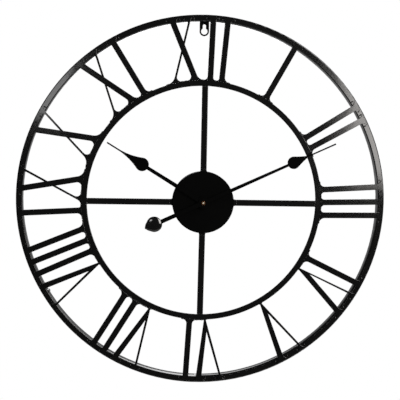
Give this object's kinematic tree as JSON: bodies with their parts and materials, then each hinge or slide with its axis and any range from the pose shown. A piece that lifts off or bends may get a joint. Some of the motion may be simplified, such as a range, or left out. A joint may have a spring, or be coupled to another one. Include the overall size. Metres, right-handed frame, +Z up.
{
  "type": "wall clock",
  "caption": "Open-frame wall clock: a tube rim, cut Roman numerals on an inner ring, cross spokes to a hub cup with a quartz movement, and spade hands.",
  "frame": {"origin": "centre of the round hole in the hanger tab, on the tab's back face, which is the wall plane", "axes": "+Z up, +Y into the wall, -Y towards the viewer, along the hands' axis; +X to the right as seen from the front"},
  "size_m": [0.6, 0.039, 0.6],
  "materials": {
    "frame_paint": "satin black powder coat",
    "hub_paint": "matte black",
    "hand_paint": "matte black",
    "counterweight_gloss": "gloss black",
    "hand_nut_brass": "turned, bright",
    "bush_brass": "turned",
    "washer_rubber": "matte",
    "movement_plastic": "moulded black",
    "train_plastic": "moulded natural white",
    "wheel_plastic": "moulded acetal, natural",
    "knob_plastic": "moulded white, ribbed",
    "magnet": "moulded plastic pinion on a dark ferrite magnet",
    "stator_steel": "stamped electrical steel",
    "bobbin_plastic": "moulded",
    "copper_wire": "enamelled copper winding",
    "circuit_laminate": "green solder mask",
    "chip_resin": "black epoxy",
    "crystal_can": "bright can",
    "battery_jacket": "plain printed steel jacket",
    "contact_plating": "nickel-plated spring strip"
  },
  "bodies": {
    "frame": {"rim_tube": "frame_paint", "rim_joint_weld": "frame_paint", "inner_ring": "frame_paint", "hub_cup": "hub_paint", "hanger_tab": "frame_paint", "spoke_top": "frame_paint", "spoke_right": "frame_paint", "spoke_bottom": "frame_paint", "spoke_left": "frame_paint", "numeral_01_I": "frame_paint", "numeral_02_II": "frame_paint", "numeral_03_III": "frame_paint", "numeral_04_IV": "frame_paint", "numeral_05_V": "frame_paint", "numeral_06_VI": "frame_paint", "numeral_07_VII": "frame_paint", "numeral_08_VIII": "frame_paint", "numeral_09_IX": "frame_paint", "numeral_10_X": "frame_paint", "numeral_11_XI": "frame_paint", "numeral_12_XII": "frame_paint", "threaded_bush": "bush_brass", "brass_washer": "bush_brass", "fixing_nut": "bush_brass", "rubber_washer": "washer_rubber", "movement_case": "movement_plastic", "movement_cover": "movement_plastic", "middle_plate": "train_plastic", "stator": "stator_steel", "coil_core": "stator_steel", "coil_bobbin": "bobbin_plastic", "coil": "copper_wire", "circuit_board": "circuit_laminate", "clock_chip": "chip_resin", "quartz_crystal": "crystal_can", "contact_plus": "contact_plating", "contact_minus": "contact_plating"},
    "hour_work": {"hour_wheel": "wheel_plastic", "hour_hand_collar": "hand_paint", "hour_hand": "hand_paint"},
    "minute_work": {"cannon_pinion": "wheel_plastic", "minute_wheel": "wheel_plastic", "minute_hand_collar": "hand_paint", "minute_hand": "hand_paint", "counterweight": "counterweight_gloss", "minute_hand_nut": "hand_nut_brass"},
    "reverse_work": {"reverse_wheel": "wheel_plastic"},
    "setting_work": {"setting_knob": "knob_plastic"},
    "third_work": {"third_wheel": "wheel_plastic"},
    "second_work": {"second_wheel": "wheel_plastic"},
    "fifth_work": {"fifth_wheel": "wheel_plastic"},
    "rotor_work": {"rotor": "magnet"},
    "cell": {"battery": "battery_jacket"}
  },
  "joints": [
    {"name": "minute_spin", "type": "hinge", "parent": "frame", "child": "minute_work", "pos_m": [0.0021, -0.0354, -0.2771], "axis": [0, 1, 0], "continuous": true},
    {"name": "hour_spin", "type": "hinge", "parent": "frame", "child": "hour_work", "pos_m": [0.0021, -0.0328, -0.2771], "axis": [0, 1, 0], "continuous": true},
    {"name": "reverse_spin", "type": "hinge", "parent": "frame", "child": "reverse_work", "pos_m": [0.0081, -0.0203, -0.26671], "axis": [0, 1, 0], "continuous": true},
    {"name": "setting_knob_spin", "type": "hinge", "parent": "frame", "child": "setting_work", "pos_m": [-0.00459, -0.006, -0.26209], "axis": [0, 1, 0], "continuous": true},
    {"name": "third_spin", "type": "hinge", "parent": "frame", "child": "third_work", "pos_m": [-0.0064, -0.0142, -0.2771], "axis": [0, 1, 0], "continuous": true},
    {"name": "second_spin", "type": "hinge", "parent": "frame", "child": "second_work", "pos_m": [0.0021, -0.0126, -0.2771], "axis": [0, 1, 0], "continuous": true},
    {"name": "fifth_spin", "type": "hinge", "parent": "frame", "child": "fifth_work", "pos_m": [0.01056, -0.0126, -0.27402], "axis": [0, 1, 0], "continuous": true},
    {"name": "rotor_spin", "type": "hinge", "parent": "frame", "child": "rotor_work", "pos_m": [0.01745, -0.0127, -0.27524], "axis": [0, 1, 0], "continuous": true},
    {"name": "battery_slide", "type": "slide", "parent": "frame", "child": "cell", "axis": [0, 1, 0], "range_m": [0, 0.02]}
  ],
  "couplings": [
    {"joint": "hour_spin", "follows": "minute_spin", "ratio": 0.083333},
    {"joint": "reverse_spin", "follows": "minute_spin", "ratio": -0.33333},
    {"joint": "setting_knob_spin", "follows": "minute_spin", "ratio": 0.66667},
    {"joint": "third_spin", "follows": "minute_spin", "ratio": -8},
    {"joint": "second_spin", "follows": "minute_spin", "ratio": 60},
    {"joint": "fifth_spin", "follows": "minute_spin", "ratio": -300},
    {"joint": "rotor_spin", "follows": "minute_spin", "ratio": 1800}
  ]
}
